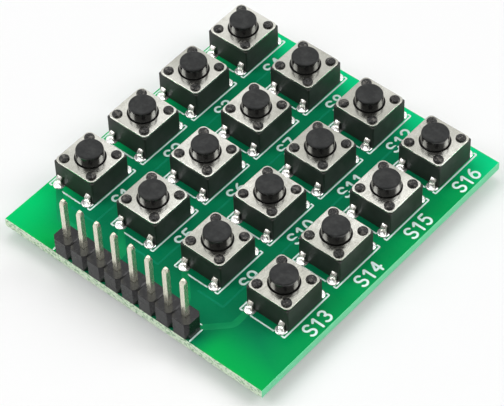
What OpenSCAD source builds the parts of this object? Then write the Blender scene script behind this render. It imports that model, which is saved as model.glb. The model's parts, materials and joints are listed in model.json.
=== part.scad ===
// Push-button matrix keypad module: a circuit board with four by four tactile switches
// and one row of header pins, one pin for each row and column line of the matrix.
// Millimetres, Z up. The header row is at the front (-Y) and the switches stand behind it.
// The origin is under the middle of the board, in the plane of the cut lead ends it lies on.
// Set "node" to one name of NODES to draw that piece alone.

/* [Board] */
// Width, along the header
board_w = 38.6; // [34:0.1:60]
// Depth, from the header to the back edge
board_d = 42.6; // [40.5:0.1:70]
// Laminate thickness
board_t = 1.2; // [0.8:0.1:2]

/* [Key grid] */
// Columns of switches, along X
columns = 4; // [3:1:4]
// Rows of switches, along Y
rows = 4; // [3:1:4]
// Left edge to the middle of the first column
left_margin = 3.5; // [3.3:0.1:8]
// Middle of the last column to the right edge
right_margin = 6.0; // [3.3:0.1:12]
// Front edge to the middle of the first row
front_margin = 11.0; // [7.5:0.1:13]
// Middle of the last row to the back edge
back_margin = 4.6; // [4.3:0.1:7]

/* [Switch housing] */
// Side of the square housing
housing_size = 6.0; // [5.9:0.1:6.4]
// Board to the seat of the cover plate
housing_h = 3.3; // [3.1:0.1:4]
// Flat on each upright corner
housing_corner = 0.12; // [0.05:0.01:0.3]
// Bore of the round cavity
cavity_d = 4.6; // [4.4:0.1:4.8]
// Plastic over the buried terminals
floor_skin = 0.1; // [0.05:0.05:0.2]
// Housing side to the middle of a staked post
post_inset = 0.88; // [0.8:0.02:0.94]
// Post through the cover
post_d = 0.8; // [0.6:0.05:0.8]
// Staked head of a post
head_d = 1.26; // [1:0.02:1.3]
// Height of a staked head over the cover
head_h = 0.3; // [0.2:0.02:0.4]
// Upright rim of a staked head
head_rim = 0.08; // [0.02:0.01:0.1]
// Dimple that the staking tool leaves in a head
dimple_d = 0.4; // [0.2:0.05:0.5]
// Depth of that dimple
dimple_h = 0.06; // [0.02:0.01:0.08]

/* [Cover plate] */
// Cover set back from the housing sides
cover_inset = 0.05; // [0.05:0.05:0.2]
// Sheet thickness
cover_t = 0.25; // [0.15:0.05:0.3]
// Corner radius in plan
cover_corner_r = 0.6; // [0.3:0.05:0.7]
// Gap round a post in its hole
post_clearance = 0.05; // [0.03:0.01:0.08]

/* [Plunger] */
// Board to the top of the plunger at rest
switch_h = 5.0; // [4.3:0.1:9.5]
// Stem where it leaves the cover
stem_d = 3.5; // [3:0.1:3.5]
// Draft of the stem, off its radius
stem_draft = 0.1; // [0.02:0.02:0.2]
// Rounding of the top edge
stem_round = 0.24; // [0.06:0.02:0.3]
// Gap round the stem in the cover
bore_clearance = 0.12; // [0.08:0.02:0.2]
// Collar that the cover holds down
flange_t = 0.5; // [0.3:0.1:0.6]
// Gap round the collar in the cavity
flange_clearance = 0.15; // [0.1:0.05:0.2]
// Gap between the collar and the cover at rest
rest_gap = 0.05; // [0.02:0.01:0.08]
// Boss that presses the dome
boss_d = 1.8; // [1.2:0.1:2.4]
// Key travel
travel = 0.25; // [0.15:0.05:0.3]

/* [Contact dome] */
// Spring sheet thickness
dome_t = 0.08; // [0.06:0.01:0.1]
// Cavity wall to the rim of the dome
dome_inset = 0.2; // [0.1:0.05:0.25]
// Flat width of the rim
dome_rim = 0.15; // [0.1:0.05:0.25]
// Gap between the boss and the dome at rest
dome_gap = 0.02; // [0.01:0.01:0.05]

/* [Terminals] */
// Lead width
lead_w = 0.7; // [0.6:0.05:0.8]
// Lead thickness
lead_t = 0.25; // [0.2:0.05:0.3]
// Distance between the two terminals of a switch
lead_pitch = 4.5; // [4.4:0.05:4.6]
// Board to the underside of a terminal in the housing
lead_z = 1.0; // [0.8:0.1:1.1]
// Gap between the housing side and a lead
lead_standoff = 0.125; // [0.1:0.025:0.3]
// Corner that a lead cuts as it slopes down beside the housing
lead_slope = 0.35; // [0.2:0.05:0.4]
// Tongue to the middle contact
tongue_w = 0.8; // [0.5:0.1:1.2]
// Middle contact
button_d = 0.8; // [0.5:0.1:1]
// Contact under the rim of the dome
rim_pad_d = 0.2; // [0.1:0.02:0.2]
// Inner side of the terminal to that contact
rim_pad_inset = 0.05; // [0.02:0.01:0.08]

/* [Holes and solder] */
// Plated hole
hole_d = 1.0; // [0.96:0.02:1.2]
// Solder at the foot of a fillet
pad_d = 1.5; // [1.4:0.05:1.7]
// Gap between solder and hole wall
solder_gap = 0.02; // [0.02:0.01:0.025]
// Fillet over the board
fillet_h = 0.25; // [0.15:0.05:0.75]
// Joint under the board
joint_h = 0.9; // [0.5:0.1:1.1]
// Solder left round the lead at a fillet's end
joint_skin = 0.04; // [0.03:0.01:0.1]
// Cut leads under the board
tail_len = 1.5; // [1.3:0.1:2.5]

/* [Header] */
// Pin pitch
pin_pitch = 2.54; // [2:0.02:2.6]
// Left edge to the first pin
header_left = 8.9; // [2:0.1:9.4]
// Front edge to the row of pins
header_inset = 1.3; // [1.28:0.02:1.8]
// Depth of the plastic strip
strip_w = 2.54; // [2:0.02:2.54]
// Height of the plastic strip
strip_h = 2.54; // [2:0.02:3]
// Corner cut of each pin's cell
cell_cut = 0.42; // [0.2:0.02:0.5]
// Depth of the breaking groove between cells
groove_h = 0.12; // [0.04:0.02:0.2]
// Side of a square pin
pin_size = 0.64; // [0.5:0.02:0.64]
// Pin over the strip
pin_above = 6.0; // [3:0.1:12]
// Length of a tapered end
pin_taper = 0.5; // [0.2:0.05:0.8]
// Side of a pin at its very end
pin_tip = 0.36; // [0.2:0.02:0.5]

/* [Hidden] */
$fn = 48;
// Straight steps that stand for each curve of a turned profile
curve_steps = 4;
// How far a cut runs past the face that it opens
past = 0.5;

key_count = columns * rows;
pin_count = columns + rows;
key_pitch_x = (board_w - left_margin - right_margin) / (columns - 1);
key_pitch_y = (board_d - front_margin - back_margin) / (rows - 1);
board_bottom = tail_len;
board_top = tail_len + board_t;

floor_z = lead_z + lead_t + floor_skin;
cover_top = housing_h + cover_t;
post_at = housing_size / 2 - post_inset;
post_r = post_d / 2;
bore_d = stem_d + 2 * bore_clearance;
stem_top_r = stem_d / 2 - stem_draft;
flange_d = cavity_d - 2 * flange_clearance;
flange_top = housing_h - rest_gap;
dome_rim_r = cavity_d / 2 - dome_inset;
dome_in_r = dome_rim_r - dome_rim;
dome_h = travel + dome_t + dome_gap;
boss_z = floor_z + dome_h + dome_gap;
lead_at = housing_size / 2 + lead_standoff + lead_t / 2;
leg_out = lead_at + lead_t / 2;
inner_slope = lead_slope - lead_t * (2 - sqrt(2));
lead_drop = board_t + tail_len;
lead_reach = norm([lead_w, lead_t]) / 2;
pin_reach = norm([pin_size, pin_size]) / 2;
rim_pad_x = (lead_pitch - lead_w + rim_pad_d) / 2 + rim_pad_inset;
header_x = header_left - board_w / 2;
header_y = header_inset - board_d / 2;
pin_len = lead_drop + strip_h + pin_above;

function two_digits(n) = str(n < 10 ? "0" : "", n);
function key_node(k, piece) = str("switch_", two_digits(k + 1), "_", piece);
function key_x(k) = left_margin + floor(k / rows) * key_pitch_x - board_w / 2;
function key_y(k) = front_margin + (k % rows) * key_pitch_y - board_d / 2;

KEYS = [for (k = [0:key_count - 1]) k];

// Moves its children to switch k, with Z from the top of the board.
module at_key(k)
    translate([key_x(k), key_y(k), board_top])
        children();

// Repeats its children at every switch.
module at_keys()
    for (k = KEYS)
        at_key(k)
            children();

// Repeats its children at the four leads of one switch, turned so that the housing is at +Y.
module at_leads()
    for (side = [-1, 1], end = [0, 180])
        rotate([0, 0, end])
            translate([side * lead_pitch / 2, -lead_at, 0])
                children();

// Repeats its children at every header pin, with Z from the top of the board.
module at_pins()
    for (p = [0:pin_count - 1])
        translate([header_x + p * pin_pitch, header_y, board_top])
            children();

// Laminate with plated holes under every lead and pin.
module circuit_board()
    color([0.05, 0.5, 0.28])
        difference() {
            translate([-board_w / 2, -board_d / 2, board_bottom])
                cube([board_w, board_d, board_t]);
            at_keys()
                at_leads()
                    hole();
            at_pins()
                hole();
        }

module hole()
    translate([0, 0, -board_t - past])
        cylinder(d = hole_d, h = board_t + 2 * past);

// One plastic strip of cells with cut corners, grooved between cells.
module header_strip()
    color([0.04, 0.04, 0.045])
        difference() {
            translate([header_x, header_y, board_top])
                linear_extrude(height = strip_h)
                    polygon(strip_outline());
            for (p = [0:pin_count - 2])
                translate([header_x + (p + 0.5) * pin_pitch, header_y, board_top + strip_h])
                    rotate([90, 45, 0])
                        cube([groove_h * sqrt(2), groove_h * sqrt(2), strip_w + 2 * past], center = true);
            at_pins()
                translate([-pin_size / 2, -pin_size / 2, -past])
                    cube([pin_size, pin_size, strip_h + 2 * past]);
        }

function strip_outline() = concat(
    [for (p = [0:pin_count - 1]) each front_side(p)],
    [[(pin_count - 0.5) * pin_pitch, -(strip_w / 2 - cell_cut)]],
    [[(pin_count - 0.5) * pin_pitch, strip_w / 2 - cell_cut]],
    [for (p = [pin_count - 1:-1:0]) each back_side(p)]
);

function front_side(p) = [
    [(p - 0.5) * pin_pitch, -(strip_w / 2 - cell_cut)],
    [(p - 0.5) * pin_pitch + cell_cut, -strip_w / 2],
    [(p + 0.5) * pin_pitch - cell_cut, -strip_w / 2],
];

function back_side(p) = [
    [(p + 0.5) * pin_pitch - cell_cut, strip_w / 2],
    [(p - 0.5) * pin_pitch + cell_cut, strip_w / 2],
    [(p - 0.5) * pin_pitch, strip_w / 2 - cell_cut],
];

// Square pins, tapered at both ends.
module header_pins()
    color([0.78, 0.76, 0.7])
        at_pins()
            translate([0, 0, -lead_drop])
                intersection() {
                    pin_blade();
                    rotate([0, 0, 90])
                        pin_blade();
                }

module pin_blade()
    rotate([90, 0, 0])
        linear_extrude(height = pin_size, center = true)
            polygon([
                [-pin_tip / 2, 0],
                [pin_tip / 2, 0],
                [pin_size / 2, pin_taper],
                [pin_size / 2, pin_len - pin_taper],
                [pin_tip / 2, pin_len],
                [-pin_tip / 2, pin_len],
                [-pin_size / 2, pin_len - pin_taper],
                [-pin_size / 2, pin_taper],
            ]);

// Solder in the holes and under the board at the header pins.
module header_solder()
    color([0.72, 0.73, 0.74])
        at_pins()
            difference() {
                joint_below(pin_reach + joint_skin);
                translate([-pin_size / 2, -pin_size / 2, -lead_drop - past])
                    cube([pin_size, pin_size, lead_drop + 2 * past]);
            }

// Hollow curve of solder from its foot on the board up the lead.
function fillet(end_r, h) = [
    for (s = [0:curve_steps])
        let (t = s / curve_steps)
        [end_r + (pad_d / 2 - end_r) * pow(1 - t, 2), h * t],
];

// Solder in a hole and under the board.
module joint_below(end_r)
    rotate_extrude()
        polygon(concat(
            [[0, -board_t - joint_h], [0, 0]],
            [[hole_d / 2 - solder_gap, 0], [hole_d / 2 - solder_gap, -board_t]],
            [for (p = fillet(end_r, joint_h)) [p.x, -board_t - p.y]]
        ));

// Solder fillet on the board, cut off where the housing stands.
module joint_above(end_r)
    intersection() {
        rotate_extrude()
            polygon(concat([[0, 0]], fillet(end_r, fillet_h), [[0, fillet_h]]));
        translate([-pad_d, lead_standoff + lead_t / 2 - solder_gap - 2 * pad_d, 0])
            cube([2 * pad_d, 2 * pad_d, fillet_h]);
    }

// Solder joints of all switch leads.
module switch_solder()
    color([0.72, 0.73, 0.74])
        at_keys()
            at_leads()
                difference() {
                    union() {
                        joint_below(lead_reach + joint_skin);
                        joint_above(lead_reach + joint_skin);
                    }
                    translate([-lead_w / 2, -lead_t / 2, -lead_drop - past])
                        cube([lead_w, lead_t, lead_drop + fillet_h + 2 * past]);
                }

// A terminal strip bent like a staple: through the housing, down both sides and through the board.
module staple()
    rotate([90, 0, 90])
        linear_extrude(height = lead_w, center = true)
            difference() {
                polygon(staple_outline(leg_out, lead_z + lead_t, lead_slope, -lead_drop));
                polygon(staple_outline(leg_out - lead_t, lead_z, inner_slope, -lead_drop - past));
            }

function staple_outline(out, top, slope, bottom) = [
    [-out, bottom],
    [out, bottom],
    [out, top - slope],
    [out - slope, top],
    [slope - out, top],
    [-out, top - slope],
];

// Terminal under the rim of the dome.
module rim_terminal() {
    translate([-lead_pitch / 2, 0, 0])
        staple();
    translate([-rim_pad_x, 0, lead_z])
        cylinder(d = rim_pad_d, h = lead_t + floor_skin);
}

// Terminal with a tongue to the middle contact.
module middle_terminal() {
    translate([lead_pitch / 2, 0, 0])
        staple();
    translate([0, -tongue_w / 2, lead_z])
        cube([lead_pitch / 2, tongue_w, lead_t]);
    translate([0, 0, lead_z])
        cylinder(d = button_d, h = lead_t + floor_skin);
}

module rim_terminals()
    color([0.8, 0.79, 0.75])
        at_keys()
            rim_terminal();

module middle_terminals()
    color([0.8, 0.79, 0.75])
        at_keys()
            middle_terminal();

// Snap dome: a shallow spring cap with a flat rim on the floor of the cavity.
module contact_domes()
    color([0.7, 0.71, 0.73])
        at_keys()
            translate([0, 0, floor_z])
                rotate_extrude()
                    polygon(dome_profile());

function dome_profile() = concat(
    [[dome_rim_r, 0], [dome_rim_r, dome_t]],
    [for (s = [0:curve_steps]) dome_curve(dome_t, s / curve_steps)],
    [for (s = [curve_steps:-1:0]) dome_curve(0, s / curve_steps)]
);

function dome_curve(lift, t) = [dome_in_r * (1 - t), lift + (dome_h - dome_t) * (1 - pow(1 - t, 2))];

// Moulded housing with a round cavity, the terminals set in its floor and four staked posts.
module switch_housing(k)
    color([0.03, 0.03, 0.032])
        at_key(k)
            difference() {
                union() {
                    housing_block();
                    for (x = [-post_at, post_at], y = [-post_at, post_at])
                        translate([x, y, 0])
                            post();
                }
                translate([0, 0, floor_z])
                    cylinder(d = cavity_d, h = housing_h - floor_z + past);
                rim_terminal();
                middle_terminal();
            }

module housing_block()
    linear_extrude(height = housing_h)
        polygon([for (q = [0:3]) each corner_flat(q)]);

function corner_flat(q) =
    let (h = housing_size / 2, c = cos(90 * q), s = sin(90 * q), b = h - housing_corner)
    [[c * h - s * b, s * h + c * b], [c * b - s * h, s * b + c * h]];

// Post through the cover with its staked head.
module post() {
    translate([0, 0, floor_z])
        cylinder(r = post_r, h = cover_top + head_rim - floor_z);
    translate([0, 0, cover_top])
        rotate_extrude()
            polygon(concat(
                [[0, head_h - dimple_h], [0, 0], [head_d / 2, 0]],
                [for (s = [0:curve_steps]) head_curve(90 * s / curve_steps)]
            ));
}

function head_curve(a) = [
    dimple_d / 2 + (head_d - dimple_d) / 2 * cos(a),
    head_rim + (head_h - head_rim) * sin(a),
];

// Sheet-metal cover, held by the four heads, with the bore the stem comes up through.
module switch_cover(k)
    color([0.82, 0.82, 0.82])
        at_key(k)
            translate([0, 0, housing_h])
                linear_extrude(height = cover_t)
                    difference() {
                        cover_outline(housing_size / 2 - cover_inset);
                        circle(d = bore_d);
                        for (x = [-post_at, post_at], y = [-post_at, post_at])
                            translate([x, y])
                                circle(d = post_d + 2 * post_clearance);
                    }

module cover_outline(half)
    union() {
        square([2 * half, 2 * (half - cover_corner_r)], center = true);
        square([2 * (half - cover_corner_r), 2 * half], center = true);
        for (x = [-1, 1], y = [-1, 1])
            translate([x * (half - cover_corner_r), y * (half - cover_corner_r)])
                circle(r = cover_corner_r);
    }

// Plunger: stem through the cover, collar under it and boss on the dome.
module switch_plunger(k)
    color([0.06, 0.06, 0.062])
        at_key(k)
            rotate_extrude()
                polygon(plunger_profile());

function plunger_profile() = concat(
    [[0, boss_z], [boss_d / 2, boss_z], [boss_d / 2, flange_top - flange_t]],
    [[flange_d / 2, flange_top - flange_t], [flange_d / 2, flange_top]],
    [[stem_d / 2, flange_top], [stem_d / 2, cover_top]],
    [for (s = [0:curve_steps]) stem_edge(90 * s / curve_steps)],
    [[0, switch_h]]
);

function stem_edge(a) = [
    stem_top_r - stem_round + stem_round * cos(a),
    switch_h - stem_round + stem_round * sin(a),
];

circuit_board();
header_strip();
header_pins();
header_solder();
rim_terminals();
middle_terminals();
contact_domes();
switch_solder();
for (k = KEYS) {
    switch_housing(k);
    switch_cover(k);
    switch_plunger(k);
}
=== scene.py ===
"""Dresses a four by four push-button keypad module: board, print, switches, header and stage.

Lengths are in metres. Places and sizes that a CAD node carries are read from the frame, and the
settings groups hold the sizes and colours that only show on the surface.
"""
import json
import math
from functools import partial

import bmesh
import bpy
from bpy.props import FloatProperty, FloatVectorProperty, PointerProperty
from bpy.types import Operator, Panel, PropertyGroup
from mathutils import Matrix, Quaternion, Vector

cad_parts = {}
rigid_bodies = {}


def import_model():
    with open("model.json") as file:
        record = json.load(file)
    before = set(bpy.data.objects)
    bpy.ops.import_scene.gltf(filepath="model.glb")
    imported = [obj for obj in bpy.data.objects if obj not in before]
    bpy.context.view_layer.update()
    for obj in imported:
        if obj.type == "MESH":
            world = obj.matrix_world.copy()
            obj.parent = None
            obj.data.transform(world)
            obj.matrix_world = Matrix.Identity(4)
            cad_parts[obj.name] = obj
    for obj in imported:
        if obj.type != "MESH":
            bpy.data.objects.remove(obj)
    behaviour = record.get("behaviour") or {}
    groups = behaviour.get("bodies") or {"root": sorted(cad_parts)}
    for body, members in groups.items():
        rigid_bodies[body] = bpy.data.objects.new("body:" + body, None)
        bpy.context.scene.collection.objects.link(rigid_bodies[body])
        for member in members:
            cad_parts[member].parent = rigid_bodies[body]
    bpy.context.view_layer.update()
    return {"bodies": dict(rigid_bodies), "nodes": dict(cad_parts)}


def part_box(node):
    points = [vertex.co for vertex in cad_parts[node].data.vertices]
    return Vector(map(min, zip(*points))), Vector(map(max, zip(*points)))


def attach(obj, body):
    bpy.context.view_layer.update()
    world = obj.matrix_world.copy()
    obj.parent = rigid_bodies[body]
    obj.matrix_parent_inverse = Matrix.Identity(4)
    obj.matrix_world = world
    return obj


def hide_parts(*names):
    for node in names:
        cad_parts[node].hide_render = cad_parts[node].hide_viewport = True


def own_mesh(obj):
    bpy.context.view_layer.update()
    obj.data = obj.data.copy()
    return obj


bl_info = {
    "name": "Push-Button Keypad",
    "version": (1, 0, 0),
    "blender": (4, 5, 0),
    "location": "View3D > Sidebar > Keypad",
    "description": "Models the visible surfaces of a four by four push-button keypad module",
    "category": "Add Mesh",
}

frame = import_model()

MM = 0.001
# Points closer than this are one point of a merged mesh
MERGE = 0.0002 * MM
# A face whose normal has more than this along an axis lies square to it
LEVEL = 0.9995
# Two parts of a line that open wider than this need no curve between them
STRAIGHT = math.radians(150)
# Axes of the flat faces of a piece like a box
BOX_AXES = (0, 1, 2)
# Edges that bend more than this stay sharp in the shading
SHARP = math.radians(35)
# Faces that meet at less than this are one flat face
FLAT = math.radians(0.5)
# Edges within this many rounding radii of a housing's sides are its outer ones
OUTER_BAND = 5
# Faces of a plunger whose normals rise more than this belong to its top
TOP_RISE = 0.4
# Header pins that the four columns' lines run to, counted from 0 at the left
COLUMN_PINS = (1, 2, 6, 7)
# Power that makes the rim of a solder pool full and round
POOL_POWER = 8
# Width of a letter in shares of its height
LETTER_W = 0.64
# Specular level of the solder mask, which hardly mirrors its surroundings
MASK_SPECULAR = 0.02
# Colour of the dull patches on tinned metal
TIN_DULL = (0.58, 0.52, 0.42)
FIXED_BODY = "module"

BOARD_LOW, BOARD_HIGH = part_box("circuit_board")
BOARD_TOP = BOARD_HIGH.z
KEYS = sorted(body for body in frame["bodies"] if body.startswith("key_"))
ROWS = COLUMNS = math.isqrt(len(KEYS))
STRIP_LOW, STRIP_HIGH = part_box("header_strip")
PIN_COUNT = round((STRIP_HIGH.x - STRIP_LOW.x) / (STRIP_HIGH.y - STRIP_LOW.y))
PIN_PITCH = (STRIP_HIGH.x - STRIP_LOW.x) / PIN_COUNT
TERMINALS = ("rim_terminals", "middle_terminals")
SWITCH_JOINT_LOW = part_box("switch_solder")[0].z
HEADER_JOINT_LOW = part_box("header_solder")[0].z


def node_of(key, piece):
    """Name of the CAD node of one piece of a key's switch."""
    return f"switch_{key[-2:]}_{piece}"


def key_place(key):
    """Middle of a key's switch on the top of the board."""
    low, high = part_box(node_of(key, "housing"))
    middle = (low + high) / 2
    return Vector((middle.x, middle.y, BOARD_TOP))


PLACES = {key: key_place(key) for key in KEYS}
FIRST = KEYS[0]


def first_box(piece):
    """Lowest and highest corner of a piece of the first switch, from the middle of that switch."""
    low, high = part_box(node_of(FIRST, piece))
    return low - PLACES[FIRST], high - PLACES[FIRST]


HOUSING_HALF = first_box("housing")[1].x
COVER_LOW, COVER_HIGH = first_box("cover")
PLUNGER_LOW, PLUNGER_HIGH = first_box("plunger")
DOME_RADIUS = PLACES[FIRST].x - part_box("contact_domes")[0].x
DOME_LOW, DOME_HIGH = (corner.z - BOARD_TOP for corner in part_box("contact_domes"))


def length(name, description, default):
    """A length setting in metres."""
    return FloatProperty(name=name, description=description, default=default, unit="LENGTH", precision=6)


def amount(name, description, default):
    """A setting with no unit."""
    return FloatProperty(name=name, description=description, default=default, precision=3)


def angle(name, description, degrees):
    """An angle setting."""
    return FloatProperty(name=name, description=description, default=math.radians(degrees), subtype="ANGLE")


def position(name, description, default):
    """A setting for a place in metres."""
    return FloatVectorProperty(name=name, description=description, default=default, subtype="TRANSLATION")


def tint(name, description, default):
    """A colour setting."""
    return FloatVectorProperty(
        name=name, description=description, default=default, subtype="COLOR", size=3, min=0.0, max=1.0
    )


class BoardSettings(PropertyGroup):
    """Sizes and colours of the circuit board and its copper lines."""

    edge_round: length("Edge round", "Radius along the edges and the hole rims", 0.05 * MM)
    hole_d: length("Hole", "Diameter of the plated holes", 1.0 * MM)
    line_w: length("Line width", "Width of a thin copper line under the mask", 0.28 * MM)
    wide_line_w: length("Wide line", "Width of a wide copper line under the mask", 0.85 * MM)
    line_h: length("Line height", "How far a copper line lifts the mask", 0.02 * MM)
    line_rise: length("Line rise", "From the pins to the line that runs along behind them", 2.7 * MM)
    row_line_at: length("Row line place", "From a switch's middle to the thin line beside it", 4.9 * MM)
    row_line_foot: length("Row line foot", "Length of a thin line's foot", 3.6 * MM)
    glow_w: length("Edge glow", "Width of the border that daylight reaches through the laminate", 6.5 * MM)
    right_glow: amount("Right glow", "Brightness of the right border against the left one", 0.38)
    front_glow: amount("Front glow", "Brightness of the front border against the left one", 0.70)
    mask: tint("Mask", "Green of the solder mask away from the edges", (0.002, 0.195, 0.082))
    # Painted light: the three border greens brighten the mask where light shines through the laminate's
    # edges
    mask_left_glow: tint("Mask left border", "Green of the solder mask at the left edge", (0.001, 0.580, 0.150))
    mask_back_glow: tint("Mask back border", "Green of the solder mask at the back edge", (0.004, 0.720, 0.270))
    mask_near_glow: tint("Mask near border", "Green of the mask at the right and front", (0.001, 0.520, 0.078))
    mask_thin_line: tint("Mask thin line", "Green of the mask over a thin line", (0.006, 0.250, 0.125))
    mask_line: tint("Mask line", "Green of the solder mask over a wide line", (0.008, 0.310, 0.108))
    laminate: tint("Laminate", "Colour of the cut laminate", (0.80, 0.96, 0.72))
    laminate_routed: tint("Routed laminate", "Colour of the smooth side edges", (0.18, 0.84, 0.44))
    laminate_shade: tint("Laminate shade", "Colour of the darker glass layers", (0.24, 0.46, 0.25))
    laminate_chip: tint("Laminate chip", "Colour of the chips along the broken edges", (0.90, 0.93, 0.86))


class PrintSettings(PropertyGroup):
    """Sizes and colours of the white print."""

    line_w: length("Line width", "Width of a printed line", 0.21 * MM)
    ink_h: length("Ink height", "How far the ink stands on the mask", 0.015 * MM)
    half_x: length("Outline half width", "From a switch's middle to the side line", 3.21 * MM)
    half_y: length("Outline half depth", "From a switch's middle to the front line", 3.87 * MM)
    pad_gap: length("Pad gap", "From a lead to the end of a printed line", 0.62 * MM)
    number_h: length("Number height", "Height of a number's letters", 1.62 * MM)
    number_step: length("Number step", "From one letter to the next", 1.32 * MM)
    number_w: length("Number stroke", "Width of a number's strokes", 0.30 * MM)
    number_at: length("Number place", "From a switch's middle to the middle of its number", 4.7 * MM)
    strip_gap: length("Strip gap", "From the header strip to the line around it", 0.14 * MM)
    ink: tint("Ink", "Colour of the print", (0.80, 1.0, 0.94))
    ink_thin: tint("Thin ink", "Colour where the ink is thin", (0.66, 0.94, 0.83))


class SwitchSettings(PropertyGroup):
    """Sizes and colours of the sixteen tactile switches."""

    housing_round: length("Housing round", "Radius along the housing's outer edges", 0.05 * MM)
    cover_round: length("Cover round", "Radius along the cover's edges", 0.035 * MM)
    cover_corner: length("Cover corner", "Radius of the cover's corners", 0.6 * MM)
    bore_d: length("Bore", "Diameter of the cover's bore", 3.74 * MM)
    post_at: length("Post place", "From the middle of a switch to a post, along each side", 2.12 * MM)
    post_hole_d: length("Post hole", "Diameter of the cover's holes for the posts", 0.9 * MM)
    stem_d: length("Stem", "Diameter of the plunger in the cover's bore", 3.5 * MM)
    stem_top_d: length("Stem top", "Diameter of the plunger at its top", 3.3 * MM)
    stem_round: length("Stem round", "Radius around the plunger's top", 0.24 * MM)
    flange_gap: length("Flange gap", "Play between the plunger's flange and the cover", 0.05 * MM)
    flange_t: length("Flange", "Thickness of the plunger's flange", 0.5 * MM)
    boss_d: length("Boss", "Diameter of the boss under the plunger", 1.8 * MM)
    dome_t: length("Dome sheet", "Thickness of the snap dome's sheet", 0.08 * MM)
    dome_rim: length("Dome rim", "Width of the snap dome's flat rim", 0.15 * MM)
    lead_w: length("Lead width", "Width of a lead", 0.7 * MM)
    lead_t: length("Lead thickness", "Thickness of a lead", 0.25 * MM)
    lead_round: length("Lead round", "Radius along a lead's edges", 0.03 * MM)
    housing: tint("Housing", "Colour of the moulded housing", (0.025, 0.028, 0.024))
    dust: tint("Dust", "Colour of the dust on the housings", (0.10, 0.10, 0.09))
    stake: tint("Staked head", "Colour of the posts' melted heads", (0.007, 0.007, 0.006))
    # Painted highlight: lighter spots on the heads stand for glints of light
    stake_glint: tint("Head scuff", "Colour of the scuffs on the heads", (0.110, 0.104, 0.092))
    plunger: tint("Plunger", "Colour of the plunger's glossy side", (0.012, 0.012, 0.012))
    plunger_top: tint("Plunger top", "Colour of the plunger's matt top", (0.016, 0.017, 0.017))
    plunger_rub: tint("Plunger rub", "Colour of the rubbed spots on the top", (0.046, 0.047, 0.046))
    # Painted reflection: the brighter and duller cover colours stand for covers that mirror more or less
    # light
    cover: tint("Cover", "Colour of the brighter covers", (0.80, 0.795, 0.73))
    cover_dim_sheen: tint("Dull cover", "Colour of the duller covers", (0.485, 0.483, 0.43))
    cover_tarnish: tint("Cover tarnish", "Colour of the tarnish on the covers", (0.40, 0.39, 0.32))
    dome: tint("Dome", "Colour of the snap dome's steel", (0.62, 0.61, 0.58))
    lead: tint("Lead", "Colour of the tinned leads", (0.90, 0.88, 0.82))


class SolderSettings(PropertyGroup):
    """Sizes and colours of the solder joints."""

    pad_d: length("Pad", "Diameter of the wetted pad", 1.5 * MM)
    pool_h: length("Pool", "Height of the solder's round rim on the board", 0.13 * MM)
    dish_h: length("Dish", "Depth of the hollow between the rim and the lead", 0.05 * MM)
    climb_h: length("Climb", "How far the solder climbs a lead beyond its rim", 0.12 * MM)
    wall_gap: length("Wall gap", "Play between the solder and the housing", 0.02 * MM)
    neck_d: length("Neck", "Diameter of the solder where it leaves the lead", 0.78 * MM)
    solder: tint("Solder", "Colour of the solder", (0.95, 0.95, 0.94))
    frost: tint("Frost", "Colour of the frosted spots on the solder", (0.76, 0.76, 0.74))


class HeaderSettings(PropertyGroup):
    """Sizes and colours of the pin header."""

    strip_round: length("Strip round", "Radius along the strip's edges", 0.04 * MM)
    pin_round: length("Pin round", "Radius along the pins' edges", 0.02 * MM)
    strip: tint("Strip", "Colour of the moulded strip", (0.013, 0.013, 0.014))
    dust: tint("Dust", "Colour of the dust on the strip", (0.12, 0.12, 0.12))
    pin: tint("Pin", "Colour of the plated pins", (0.78, 0.77, 0.63))


class StageSettings(PropertyGroup):
    """Camera, lamps, surroundings and floor."""

    azimuth: angle("Azimuth", "Camera's turn round the module", 42.225)
    elevation: angle("Elevation", "Camera's height over the board", 49.23)
    roll: angle("Roll", "Camera's turn about its own line of sight", -2.25)
    distance: length("Distance", "From the camera to the point it looks at", 279.9 * MM)
    aim: position("Aim", "Point that the camera looks at", (1.1 * MM, -1.6 * MM, BOARD_TOP))
    clip: length("Clip", "Nearest distance that the camera shows", 10 * MM)
    lens: amount("Lens", "Focal length in millimetres", 174.26)
    sensor: amount("Sensor", "Sensor width in millimetres", 36.0)
    floor_side: length("Floor", "Side of the floor", 6.0)
    floor: tint("Floor", "Colour of the floor", (0.90, 0.90, 0.90))
    floor_lift: amount("Floor lift", "Share of plain white in the floor that the camera sees", 0.22)
    ambient: amount("Ambient", "Strength of the light from all round", 0.33)
    near_level: amount("Near level", "Brightness of the side behind the camera in reflections", 0.25)
    sky_lean: amount("Sky lean", "How far the bright side of the reflections leans down", 0.5)
    sky_start: amount("Sky start", "Where the reflections begin to brighten", -0.6)
    sky_stop: amount("Sky stop", "Where the reflections reach plain white", 0.36)
    key_at: position("Key place", "Place of the overhead softbox", (-140 * MM, 130 * MM, 570 * MM))
    key_size: length("Key size", "Side of the overhead softbox", 300 * MM)
    key_power: amount("Key power", "Power of the overhead softbox in watts", 0.95)
    side_reach: length("Side reach", "How far each side softbox stands out, and its height", 340 * MM)
    side_size: length("Side size", "Side of each softbox at the sides", 240 * MM)
    side_power: amount("Side power", "Power of each softbox at the sides in watts", 0.9)


class KeypadSettings(PropertyGroup):
    """All settings of the keypad."""

    board: PointerProperty(type=BoardSettings)
    print: PointerProperty(type=PrintSettings)
    switch: PointerProperty(type=SwitchSettings)
    solder: PointerProperty(type=SolderSettings)
    header: PointerProperty(type=HeaderSettings)
    stage: PointerProperty(type=StageSettings)


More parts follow.
